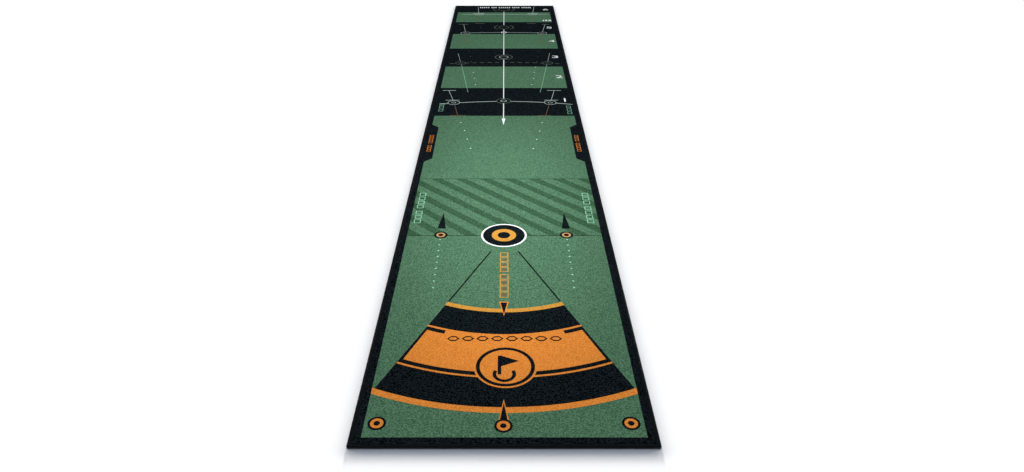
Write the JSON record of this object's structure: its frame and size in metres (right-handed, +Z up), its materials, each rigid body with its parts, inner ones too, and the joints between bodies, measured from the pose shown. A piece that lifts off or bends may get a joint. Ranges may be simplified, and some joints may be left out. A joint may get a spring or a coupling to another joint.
{
  "type": "practice putting mat",
  "caption": "Long flat practice putting mat: printed pile cloth on a scrim and a rubber backing, overlocked all round, that lies on a floor.",
  "frame": {"origin": "centre of the underside, on the floor", "axes": "+X to the right for a player who looks along the mat from the target end, +Y along the length towards the far end, +Z up out of the pile"},
  "size_m": [0.5, 3, 0.005],
  "materials": {
    "black_rubber": "matt foamed rubber with a fine moulded grain",
    "grey_scrim": "dull non-woven polyester cloth",
    "printed_pile": "short dense velour pile, printed green, black, orange, white and mint",
    "black_thread": "soft lustre textured polyester thread"
  },
  "bodies": {
    "root": {"rubber_backing": "black_rubber", "backing_cloth": "grey_scrim", "putting_surface": "printed_pile", "overlock_near_end": "black_thread", "overlock_far_end": "black_thread", "overlock_left_side": "black_thread", "overlock_right_side": "black_thread", "needle_thread_near_end": "black_thread", "needle_thread_far_end": "black_thread", "needle_thread_left_side": "black_thread", "needle_thread_right_side": "black_thread"}
  },
  "joints": []
}
